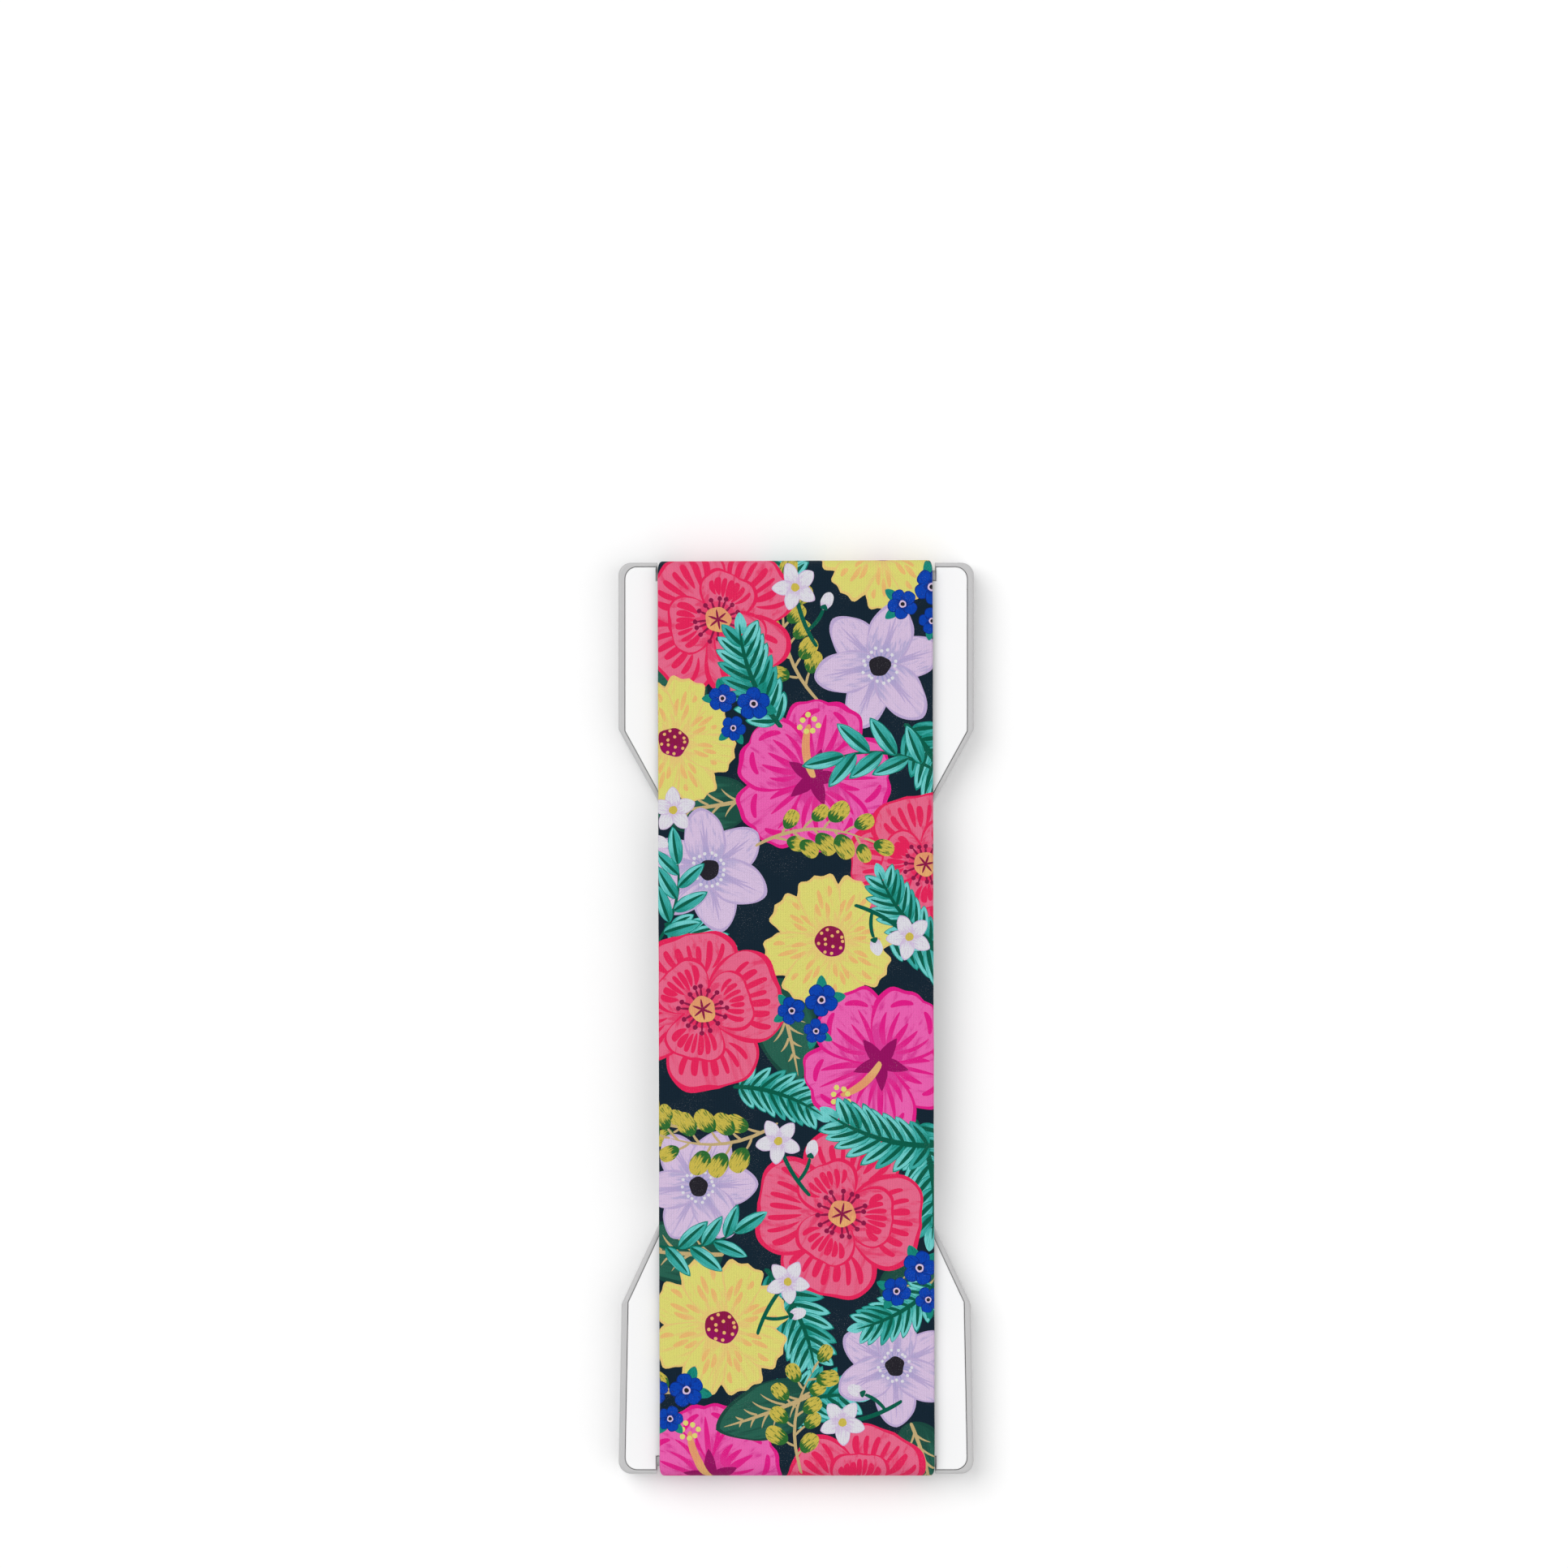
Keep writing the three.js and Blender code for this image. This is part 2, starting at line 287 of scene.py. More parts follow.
strap_low, strap_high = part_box("strap")
half_width = strap_high.x
turn_outer = (strap_high.z - strap_low.z) / 2
turn_radius = turn_outer - STRAP_THICKNESS / 2  # to the middle of the strap's thickness
bar_centre = strap_high.y - turn_outer
bar_height = strap_high.z - turn_outer
keeper_low, keeper_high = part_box("upper_keeper")
post_row = (keeper_low.y + keeper_high.y) / 2
tail_tip = post_row - TAIL_PAST_POSTS
half_turn = math.pi * turn_radius
flat_half_length = bar_centre + half_turn + (bar_centre - tail_tip)

# The flat skin of the strap, unrolled from the middle of its underside: x goes across the face and round
# the selvedges, and y along the strap. These are the distances from the middle where the section changes.
face_half = half_width - SELVEDGE_RADIUS
quarter_round = math.pi / 2 * SELVEDGE_RADIUS
side_height = STRAP_THICKNESS - 2 * SELVEDGE_RADIUS
back_start = face_half + 2 * quarter_round + side_height
skin_half = back_start + face_half
print_half = face_half + quarter_round + side_height / 2

draw = random.Random(23)

# Dye colours, as pairs of a light wash and the tone that is brushed into it.
NAVY = linear(13, 33, 47)
BACKING = linear(22, 28, 40)
PINK, PINK_DEEP, PINK_HOT = linear(238, 98, 178), linear(222, 60, 152), linear(228, 24, 136)
MAGENTA = linear(151, 9, 97)
CORAL, CORAL_DEEP, CORAL_RED = linear(233, 104, 140), linear(230, 66, 110), linear(232, 34, 90)
PEACH = linear(229, 153, 108)
YELLOW, YELLOW_DEEP, STRAW = linear(223, 218, 116), linear(231, 200, 120), linear(235, 184, 112)
MAROON = linear(141, 20, 70)
LILAC, LILAC_DEEP, LILAC_SHADE = linear(217, 194, 225), linear(190, 170, 212), linear(160, 156, 204)
INK = linear(33, 31, 39)
BLUE, BLUE_DEEP = linear(2, 67, 178), linear(4, 40, 126)
TEAL, TEAL_DEEP, TEAL_SHADE = linear(116, 210, 208), linear(60, 172, 166), linear(20, 138, 124)
VEIN = linear(0, 91, 72)
GREEN, GREEN_SHADE = linear(37, 97, 80), linear(22, 70, 60)
TAN = linear(196, 172, 122)
OCHRE, MOSS = linear(205, 186, 78), linear(44, 106, 46)
WHITE, WHITE_SHADE = linear(224, 223, 230), linear(208, 186, 220)

# Each shape of the print is a polygon in the flat skin, in millimetres, with the frame of its own petal
# or leaf, its two dyes and how strongly the second is streaked over the first. Later shapes cover earlier.
shapes = []


def lay(outline, x, y, angle, length, half, wash, shade, streaks=0.5):
    """Lays one shape. The outline is (across, along) from its base, and angle is the way it points."""
    ahead = (math.cos(angle), math.sin(angle))
    aside = (math.sin(angle), -math.cos(angle))
    points = [
        (x + across * aside[0] + along * ahead[0], y + across * aside[1] + along * ahead[1])
        for across, along in outline
    ]
    shapes.append((points, (x, y), ahead, aside, length, half, wash, shade, streaks))


def wobbled(outline, amount):
    """An outline as a brush leaves it, pushed in and out a little."""
    middle_across = sum(p[0] for p in outline) / len(outline)
    middle_along = sum(p[1] for p in outline) / len(outline)
    waves = [(count, draw.uniform(0, math.tau), draw.uniform(0.4, 1)) for count in (2, 3, 5)]
    pushed = []
    for across, along in outline:
        turn = math.atan2(along - middle_along, across - middle_across)
        push = 1 + amount * sum(size * math.sin(count * turn + phase) for count, phase, size in waves)
        pushed.append((
            middle_across + (across - middle_across) * push,
            middle_along + (along - middle_along) * push,
        ))
    return pushed


def evenly(outline, count):
    """A closed outline with so many points, spaced alike along it."""
    closed = outline + outline[:1]
    lengths = [math.dist(a, b) for a, b in zip(closed, closed[1:])]
    step = sum(lengths) / count
    points, passed, k = [], 0.0, 0
    for i in range(count):
        while passed + lengths[k] < i * step:
            passed += lengths[k]
            k += 1
        share = (i * step - passed) / lengths[k]
        (ax, ay), (bx, by) = closed[k], closed[k + 1]
        points.append((ax + (bx - ax) * share, ay + (by - ay) * share))
    return points


FINE_STEPS = 40  # down each side of a petal, before its points are spaced


def swell(v, base, tip):
    """The half width at v of a petal's length, 1 at its widest."""
    peak = base / (base + tip)
    return v ** base * (1 - v) ** tip / (peak ** base * (1 - peak) ** tip)


def petal_shape(length, half, base=0.7, tip=0.35, frill=0.0, frills=0, sides=36):
    """A petal or leaf. Base and tip are near 0.3 for a blunt end, 0.5 for a round one and 1 for a tip."""
    stations = [(1 - math.cos(math.pi * i / FINE_STEPS)) / 2 for i in range(FINE_STEPS + 1)]
    right = [(half * swell(v, base, tip), v * length) for v in stations]
    left = [(-across, along) for across, along in reversed(right[1:-1])]
    outline = []
    for across, along in right + left:
        turn = math.atan2(along - length / 2, across)
        ruffle = 1 + frill * math.sin(frills * turn) * max(0.0, math.sin(turn))
        outline.append((across * ruffle, length / 2 + (along - length / 2) * ruffle))
    return evenly(outline, sides)


def petal(x, y, angle, length, half, wash, shade, rim=None, streaks=0.5, wobble=0.022, **form):
    """One petal, with a thin uneven rim of another dye where it has one."""
    outline = petal_shape(length, half, **form)
    if rim:
        lay(wobbled(outline, wobble), x, y, angle, length, half, rim, rim, 0)
        outline = [(across * 0.91, 0.02 * length + along * 0.94) for across, along in outline]
    lay(wobbled(outline, wobble), x, y, angle, length, half, wash, shade, streaks)


def stroke(start, end, bend, width, dye, shade=None, base=0.35, tip=0.6, steps=12, streaks=0.3):
    """A tapered brush stroke or stem from start to end, bowed to its left by bend times its length."""
    run, rise = end[0] - start[0], end[1] - start[1]
    length = math.hypot(run, rise)
    right, left = [], []
    for i in range(steps + 1):
        v = (1 - math.cos(math.pi * i / steps)) / 2
        half = width / 2 * swell(v, base, tip)
        bow = -4 * bend * length * v * (1 - v)
        right.append((bow + half, v * length))
        left.append((bow - half, v * length))
    outline = right + left[-2:0:-1]
    lay(outline, *start, math.atan2(rise, run), length, width / 2, dye, shade or dye, streaks)


def spot(x, y, radius, dye, shade=None, wobble=0.04, sides=20, streaks=0.0):
    outline = [
        (radius * math.cos(math.tau * i / sides), radius + radius * math.sin(math.tau * i / sides))
        for i in range(sides)
    ]
    outline = wobbled(outline, wobble)
    lay(outline, x, y - radius, math.pi / 2, 2 * radius, radius, dye, shade or dye, streaks)


def polar(x, y, angle, distance):
    return x + distance * math.cos(angle), y + distance * math.sin(angle)


def on_stem(x, y, turn, length, bend, v):
    """The point at v along a bowed stem, and the way the stem heads there."""
    along = polar(x, y, turn, v * length)
    point = polar(*along, turn + math.pi / 2, 4 * bend * length * v * (1 - v))
    return point, turn + 4 * bend * (1 - 2 * v)


def hibiscus(x, y, size, turn):
    """Five broad pink petals with frilled tips, a dark star in the throat and a long pistil."""
    for i in (0, 2, 4, 1, 3):
        angle = turn + math.tau * i / 5 + draw.uniform(-0.08, 0.08)
        length, half = size * draw.uniform(0.49, 0.54), size * draw.uniform(0.25, 0.28)
        petal(
            x, y, angle, length, half, PINK, PINK_DEEP, rim=PINK_HOT, streaks=0.75,
            base=0.8, tip=0.36, frill=0.035, frills=11, sides=64,
        )
        for side in (-2, -1, 0, 1, 2):
            lean = angle + side * 0.2
            reach = length * draw.uniform(0.62, 0.86) * (1 - 0.05 * abs(side))
            start, end = polar(x, y, lean, size * 0.12), polar(x, y, lean + side * 0.05, reach)
            stroke(start, end, 0.05 * side, size * draw.uniform(0.026, 0.046), PINK_HOT, PINK_DEEP)
        for side in (-1, 1):
            start = polar(x, y, angle + side * 0.1, length * 0.88)
            end = polar(x, y, angle + side * 0.44, length * 0.74)
            stroke(start, end, side * -0.1, size * 0.04, PINK_HOT, tip=0.35)
    for i in range(5):
        petal(
            x, y, turn + math.tau * i / 5, size * 0.2, size * 0.045, MAGENTA, MAGENTA,
            base=0.4, tip=0.9, sides=24,
        )
    spot(x, y, size * 0.06, MAGENTA)
    aim = turn + 0.35
    tip = polar(x, y, aim, size * 0.36)
    stroke((x, y), tip, 0.1, size * 0.055, PEACH, YELLOW_DEEP, base=0.2, tip=0.25)
    for i in range(7):
        anther = polar(*tip, aim + 0.9 * (i - 3), size * (0.05 + 0.014 * (i % 2)))
        spot(*anther, size * 0.019, YELLOW, sides=12)


def poppy(x, y, size, turn):
    """Wide coral petals in two rounds, creased from the middle, with a peach seed head and stamens."""
    rounds = ((4, 0.52, 0.31, 0.0), (3, 0.33, 0.2, 0.6))
    for count, reach, breadth, offset in rounds:
        for i in [*range(0, count, 2), *range(1, count, 2)]:
            angle = turn + offset + math.tau * i / count + draw.uniform(-0.1, 0.1)
            length, half = size * reach * draw.uniform(0.95, 1.04), size * breadth
            petal(
                x, y, angle, length, half, CORAL, CORAL_DEEP, rim=CORAL_RED, streaks=0.8,
                base=0.66, tip=0.34, frill=0.02, frills=9, sides=60,
            )
            for side in (-2.4, -1.5, -0.7, 0, 0.8, 1.6, 2.4):
                lean = angle + side * 0.19
                start = polar(x, y, lean, length * draw.uniform(0.42, 0.56))
                end = polar(x, y, lean + side * 0.03, length * draw.uniform(0.82, 0.9))
                width = size * draw.uniform(0.028, 0.05)
                stroke(start, end, 0.04 * side, width, CORAL_RED, base=0.6, tip=0.3)
    petal(
        x, y - size * 0.12, math.pi / 2, size * 0.24, size * 0.12, CORAL_DEEP, CORAL_RED,
        base=0.5, tip=0.5,
    )
    for i in range(16):
        angle = math.tau * i / 16 + draw.uniform(-0.1, 0.1)
        start, end = polar(x, y, angle, size * 0.06), polar(x, y, angle, size * draw.uniform(0.125, 0.16))
        stroke(start, end, 0, size * 0.016, MAROON, steps=5)
        spot(*end, size * 0.016, MAROON, sides=12)
    spot(x, y, size * 0.085, PEACH, STRAW, sides=30, streaks=0.4)
    for i in range(6):
        stroke((x, y), polar(x, y, math.tau * i / 6 + turn, size * 0.07), 0, size * 0.016, MAROON, steps=6)


def clematis(x, y, size, turn):
    """Six pointed lilac petals with brushed ribs, a soft violet halo and a dark eye with pale stamens."""
    for i in (0, 2, 4, 1, 3, 5):
        angle = turn + math.tau * i / 6 + draw.uniform(-0.07, 0.07)
        length, half = size * draw.uniform(0.5, 0.55), size * draw.uniform(0.168, 0.186)
        petal(
            x, y, angle, length, half, LILAC, LILAC_SHADE, rim=LILAC_DEEP, streaks=0.4,
            base=0.55, tip=0.6, sides=50,
        )
        for side in (-1, 0, 1):
            end = polar(x, y, angle + side * 0.09, length * (0.86 - 0.16 * abs(side)))
            start = polar(x, y, angle + side * 0.2, size * 0.11)
            stroke(start, end, -0.05 * side, size * 0.02, LILAC_DEEP, LILAC_SHADE, tip=0.8)
    for i in range(18):
        angle = math.tau * i / 18 + draw.uniform(-0.08, 0.08)
        end = polar(x, y, angle, size * draw.uniform(0.115, 0.15))
        stroke((x, y), end, 0, size * 0.016, LILAC_SHADE, steps=5)
        spot(*end, size * 0.014, WHITE, sides=12)
    spot(x, y, size * 0.085, INK, wobble=0.06, sides=36)


def cosmos(x, y, size, turn):
    """Eight yellow petals with notched tips and peach dashes round a maroon disc."""
    for i in (0, 3, 6, 1, 4, 7, 2, 5):
        angle = turn + math.tau * i / 8 + draw.uniform(-0.06, 0.06)
        length, half = size * draw.uniform(0.48, 0.53), size * draw.uniform(0.15, 0.17)
        petal(
            x, y, angle, length, half, YELLOW, YELLOW_DEEP, rim=YELLOW_DEEP, streaks=0.6,
            base=0.75, tip=0.24, frill=0.05, frills=13, sides=56,
        )
        dashes = ((0.36, 0.6, -1), (0.5, 0.78, 0), (0.4, 0.66, 1), (0.68, 0.86, -1.6))
        for start_at, end_at, side in dashes:
            lean = angle + side * 0.13
            reach = length * end_at * draw.uniform(0.9, 1.05)
            start, end = polar(x, y, lean, length * start_at), polar(x, y, lean, reach)
            stroke(start, end, 0.06 * side, size * 0.036, STRAW, YELLOW_DEEP, base=0.5, tip=0.5, steps=10)
    spot(x, y, size * 0.12, MAROON, MAGENTA, wobble=0.05, sides=36, streaks=0.5)
    for i in range(13):
        distance = size * (0.095 if i < 9 else 0.045)
        spot(*polar(x, y, 2.4 * i, distance), size * 0.013, STRAW, sides=10)


def forget_me_nots(x, y, size, turn):
    """A cluster of small five-petalled blue flowers on teal sepals."""
    for i in range(3):
        middle = polar(x, y, turn + math.tau * i / 3, size * 0.36)
        bloom = size * (0.66, 0.56, 0.5)[i]
        for side in (-1, 1):
            lean = turn + math.tau * i / 3 + 0.7 * side
            petal(*middle, lean, bloom * 0.74, bloom * 0.17, TEAL_SHADE, VEIN, tip=0.7, sides=22)
        for k in range(5):
            angle = turn + i + math.tau * k / 5
            petal(
                *middle, angle, bloom * 0.5, bloom * 0.22, BLUE, BLUE_DEEP, rim=BLUE_DEEP,
                base=0.55, tip=0.4, sides=28,
            )
        spot(*middle, bloom * 0.12, LILAC, sides=16)
        spot(*middle, bloom * 0.07, INK, sides=14)


def jasmine(x, y, size, turn):
    """A white five-pointed star flower and its bud, on a forked green stem."""
    reach, bend = size * 1.35, 0.06
    foot = polar(x, y, turn, reach)
    fork, heading = on_stem(*foot, turn + math.pi, reach, bend, 0.3)
    aside = heading - 1.1
    bud = polar(*fork, aside, size * 0.55)
    stroke(foot, (x, y), bend, size * 0.09, VEIN, base=0.1, tip=0.1)
    stroke(fork, bud, -0.08, size * 0.08, VEIN, base=0.1, tip=0.1)
    petal(*bud, aside + 0.25, size * 0.4, size * 0.13, WHITE, WHITE_SHADE, base=0.6, tip=0.6, sides=28)
    stroke(bud, polar(*bud, aside + 0.25, size * 0.12), 0, size * 0.16, VEIN, base=0.3, tip=0.8)
    for i in range(5):
        angle = turn + math.tau * (i + 0.5) / 5
        petal(
            x, y, angle, size * 0.5, size * 0.16, WHITE, WHITE_SHADE, rim=WHITE_SHADE,
            base=0.6, tip=0.7, sides=32,
        )
    spot(x, y, size * 0.09, OCHRE, sides=16)


def frond(x, y, length, turn, bend=0.08):
    """A teal frond of pointed leaflets in pairs, each with a dark rib."""
    pairs = 8
    for i in range(pairs):
        v = 0.08 + 0.86 * i / pairs
        joint, heading = on_stem(x, y, turn, length, bend, v)
        reach = length * 0.43 * (0.25 + 2.2 * v) ** 0.45 * (1 - v) ** 0.42
        for side in (-1, 1):
            lean = heading + side * (0.98 - 0.4 * v) + draw.uniform(-0.05, 0.05)
            wash, shade = draw.choice(((TEAL, TEAL_DEEP), (TEAL, TEAL_DEEP), (TEAL_DEEP, TEAL_SHADE)))
            petal(
                *joint, lean, reach, length * 0.062, wash, shade, rim=TEAL_SHADE, streaks=0.6,
                base=0.5, tip=0.7, sides=24,
            )
            stroke(joint, polar(*joint, lean, reach * 0.84), 0.03 * side, length * 0.038, VEIN, steps=6)
    end, heading = on_stem(x, y, turn, length, bend, 0.94)
    petal(*end, heading, length * 0.2, length * 0.055, TEAL, TEAL_DEEP, base=0.5, tip=0.7, sides=24)
    stroke((x, y), polar(x, y, turn, length * 1.04), bend, length * 0.05, VEIN, base=0.1, tip=0.5)


def willow_spray(x, y, length, turn, bend=-0.1):
    """Long smooth leaves, light teal on one side of the rib and deep teal on the other."""
    count = 7
    stroke((x, y), polar(x, y, turn, length), bend, length * 0.04, VEIN, base=0.1, tip=0.3)
    for i in range(count):
        v = 0.12 + 0.88 * i / (count - 1)
        joint, heading = on_stem(x, y, turn, length, bend, min(v, 0.98))
        lean = heading + (0.0 if i == count - 1 else 0.75 if i % 2 else -0.75)
        reach = length * draw.uniform(0.42, 0.5)
        half = reach * 0.19
        petal(
            *joint, lean, reach, half, TEAL, TEAL_DEEP, rim=TEAL_SHADE, streaks=0.5,
            base=0.6, tip=0.8, sides=36,
        )
        leaf = petal_shape(reach, half, 0.6, 0.8)
        darker = [(across * 0.88, along * 0.95) for across, along in leaf if across > -0.01 * half]
        lay(darker, *joint, lean, reach, half, TEAL_DEEP, TEAL_SHADE)
        stroke(joint, polar(*joint, lean, reach * 0.9), 0.02, reach * 0.085, VEIN, steps=8)


def broad_leaf(x, y, length, turn):
    """A deep green leaf with tan ribs."""
    half = length * 0.29
    petal(
        x, y, turn, length, half, GREEN, GREEN_SHADE, rim=GREEN_SHADE, wobble=0.02,
        base=0.5, tip=0.72, sides=50,
    )
    for i in range(5):
        joint = polar(x, y, turn, (0.12 + 0.15 * i) * length)
        for side in (-1, 1):
            end = polar(*joint, turn + side * 0.75, half * (0.95 - 0.22 * abs(i - 1)))
            stroke(joint, end, -0.08 * side, length * 0.024, TAN, steps=8, base=0.2, tip=0.6)
    stroke((x, y), polar(x, y, turn, length * 0.93), 0.02, length * 0.04, TAN, base=0.1, tip=0.5)


def berry_sprig(x, y, length, turn, bend=0.12):
    """A thin tan stem with ochre berries on short stalks, green where they join it."""
    count = 9
    for i in range(count + 1):
        joint, heading = on_stem(x, y, turn, length, bend, min(0.16 + 0.86 * i / count, 1))
        spread = draw.uniform(0.6, 1.05)
        lean = heading + (0.0 if i == count else spread if i % 2 else -spread)
        stalk = length * draw.uniform(0.05, 0.15)
        berry = length * draw.uniform(0.1, 0.14)
        stroke(joint, polar(*joint, lean, stalk * 1.4), 0.06, length * 0.024, TAN, steps=6)
        petal(
            *polar(*joint, lean, stalk), lean, berry * 1.8, berry * 0.66, OCHRE, MOSS, streaks=0.9,
            base=0.5, tip=0.42, sides=28,
        )
    stroke((x, y), polar(x, y, turn, length), bend, length * 0.032, TAN, base=0.1, tip=0.4)


# The layout, from the upper end down: what, x, y, size and the way it is turned, in degrees. The leaves
# that lie under the flowers come first, then the flowers, and then what lies over them.
UNDER_LEAVES = (
    (frond, -1.5, 47, 13, 72), (broad_leaf, -10, 37.5, 11, 205), (berry_sprig, 2.5, 35, 12, 108),
    (frond, 12, 32.5, 13, -62), (broad_leaf, -5, 24.2, 11, 188), (frond, -14.5, 10.5, 10, -40),
    (frond, 9.5, 10, 13, -32), (broad_leaf, -2.5, 4.5, 12, -76), (berry_sprig, -10, -12, 10, 160),
    (frond, -7, -7.5, 10, -18), (frond, 13, -11, 13, -82), (broad_leaf, 9, -29.5, 11, -4),
    (frond, -3.5, -27.5, 12, -64), (broad_leaf, -8, -26, 12, 176), (frond, -5, -44.5, 12, 14),
    (berry_sprig, -12, -41, 10, 165), (broad_leaf, 12.5, -44.5, 10, -72), (frond, -1, -52, 12, -92),
    (berry_sprig, 14, -55, 10, -80), (broad_leaf, -14, 53, 12, 80),
)
BLOSSOMS = (
    (hibiscus, -8, 60, 14.5, 20), (cosmos, 9.5, 52, 13.5, 5), (clematis, 9.3, 38.8, 13.5, 12),
    (poppy, -8.5, 44, 16.5, 40), (cosmos, -13.5, 30.5, 13.5, 30), (hibiscus, 2, 26.5, 16.5, 75),
    (poppy, 14.3, 17, 15.5, 10), (clematis, -9.6, 16.4, 13.5, 40), (cosmos, 3.8, 8.5, 14, 15),
    (poppy, -10.3, 1, 17, 100), (hibiscus, 9.3, -4.8, 16, 200), (clematis, -10.8, -18.5, 12.5, 5),
    (poppy, 5, -21.5, 17.5, 80), (cosmos, -8.3, -34, 15, 22), (clematis, 10.8, -38.3, 12.5, 28),
    (poppy, 6.8, -53, 16, 60), (hibiscus, -9.5, -50.5, 15.5, 95), (clematis, 11, -66, 13, 15),
)
OVER_LEAVES = (
    (frond, -1.5, 32, 12, 112), (willow_spray, 15, 27.5, 10, 172), (berry_sprig, -4.5, 19, 12, 4),
    (frond, 15.5, 8, 10, 128), (willow_spray, -15.2, 8.5, 9, 76), (frond, 15.5, -14, 12, 164),
    (berry_sprig, -2, -11.5, 12, -172), (willow_spray, -15.5, -25, 9, 10), (frond, 15.5, -29, 10, -150),
    (broad_leaf, 1.5, -41.5, 11, 200), (berry_sprig, 0.5, -50, 11, 84),
)
ACCENTS = (
    (jasmine, 0, 47.5, 5.2, -70), (forget_me_nots, 14, 45.6, 6, 60), (forget_me_nots, -6.5, 34, 5.6, 20),
    (jasmine, -13.5, 23, 5.2, 200), (jasmine, 12.5, 9, 5.2, 150), (forget_me_nots, 1.5, 0.5, 5.6, 50),
    (jasmine, -2, -13.5, 5.2, -60), (forget_me_nots, 13, -29.5, 5.8, 75), (jasmine, -1, -29, 5, 240),
    (forget_me_nots, -14, -42, 5.8, 30), (jasmine, 5, -44.5, 5.2, 20),
)
for motif, x, y, size, degrees in UNDER_LEAVES + BLOSSOMS + OVER_LEAVES + ACCENTS:
    motif(x, y, size, math.radians(degrees))

# Lines that the flat skin is creased along when it is wrapped: across the strap and along it.
FACE_LINES = 4
ROUND_STEPS = 4
FOLD_STEPS = 20
RUN_STEP = 2.5 * MM
MILLIMETRES = 1000
PRINT_RUN_ON = 5  # how far past a fold a shape may reach, in millimetres

across_lines = [face_half * i / FACE_LINES for i in range(FACE_LINES + 1)]
across_lines += [face_half + quarter_round * i / ROUND_STEPS for i in range(1, ROUND_STEPS + 1)]
across_lines += [print_half, back_start - quarter_round]
across_lines += [back_start - quarter_round * i / ROUND_STEPS for i in range(ROUND_STEPS)]
across_lines += [skin_half]
run_steps = round(bar_centre / RUN_STEP)
along_lines = [bar_centre * i / run_steps for i in range(run_steps + 1)]
along_lines += [bar_centre + half_turn * i / FOLD_STEPS for i in range(1, FOLD_STEPS + 1)]
along_lines += [flat_half_length]
post_along = bar_centre + half_turn + bar_centre - post_row

flat_points = []
flat_edges = []
flat_faces = []


def add_polygon(points):
    start = len(flat_points)
    flat_points.extend(Vector(p) for p in points)
    flat_faces.append(list(range(start, len(flat_points))))


def add_line(a, b):
    start = len(flat_points)
    flat_points.extend((Vector(a), Vector(b)))
    flat_edges.append((start, start + 1))


def rectangle(half_x, half_y):
    return [(-half_x, -half_y), (half_x, -half_y), (half_x, half_y), (-half_x, half_y)]


skin_x, skin_y = skin_half * MILLIMETRES, flat_half_length * MILLIMETRES
print_x = print_half * MILLIMETRES
print_end = (bar_centre + half_turn) * MILLIMETRES + PRINT_RUN_ON
add_polygon(rectangle(skin_x, skin_y))
add_polygon(rectangle(print_x, skin_y))
for place in across_lines:
    for side in {place, -place}:
        add_line((side * MILLIMETRES, -skin_y), (side * MILLIMETRES, skin_y))
for place in along_lines:
    for side in {place, -place}:
        add_line((-skin_x, side * MILLIMETRES), (skin_x, side * MILLIMETRES))

HOLE_SIDES = 16
first_hole = len(flat_faces)
post_places = [POST_SPACING * (i - (POST_COUNT - 1) / 2) for i in range(POST_COUNT)]
for end in (-1, 1):
    for place in post_places:
        for x in (place, math.copysign(back_start + face_half - abs(place), place)):
            turns = [math.tau * i / HOLE_SIDES for i in range(HOLE_SIDES)]
            hole = [polar(x, end * post_along, turn, POST_HOLE_RADIUS) for turn in turns]
            add_polygon([(p[0] * MILLIMETRES, p[1] * MILLIMETRES) for p in hole])
first_shape = len(flat_faces)
kept_shapes = []
for shape in shapes:
    points = shape[0]
    if max(abs(y) for x, y in points) > print_end or min(abs(x) for x, y in points) > print_x:
        continue
    area = sum(a[0] * b[1] - b[0] * a[1] for a, b in zip(points, points[1:] + points[:1]))
    add_polygon(points if area > 0 else points[::-1])
    kept_shapes.append(shape)

MERGE_WITHIN = 1e-4  # millimetres
FLAT_WITHIN = 0.001  # radians
cut_points, cut_edges, cut_faces, _, edges_from, faces_from = delaunay_2d_cdt(
    flat_points, flat_edges, flat_faces, 0, MERGE_WITHIN, True,
)

# Faces of one shape are joined, so that the outlines that other shapes cover are gone, and the creases
# stay. Until then each face's shape is kept as its material number: 0 is backing and 1 is bare navy.
skin = bmesh.new()
corners = [skin.verts.new((p.x * MM, p.y * MM, 0)) for p in cut_points]
for face, sources in zip(cut_faces, faces_from):
    if 0 not in sources or any(first_hole <= source < first_shape for source in sources):
        continue
    shown = max(sources)
    made = skin.faces.new([corners[index] for index in face])
    if 1 in sources:
        made.material_index = 1 if shown < first_shape else 2 + shown - first_shape
for (start, end), sources in zip(cut_edges, edges_from):
    if any(source < len(flat_edges) for source in sources):
        crease = skin.edges.get((corners[start], corners[end]))
        if crease:
            crease.seam = True
bmesh.ops.delete(skin, geom=[corner for corner in skin.verts if not corner.link_faces], context="VERTS")
bmesh.ops.dissolve_limit(
    skin, angle_limit=FLAT_WITHIN, verts=skin.verts, edges=skin.edges, delimit={"MATERIAL", "SEAM"},
)
bmesh.ops.triangulate(skin, faces=skin.faces)
strap_mesh = bpy.data.meshes.new("strap_flat")
skin.to_mesh(strap_mesh)
skin.free()

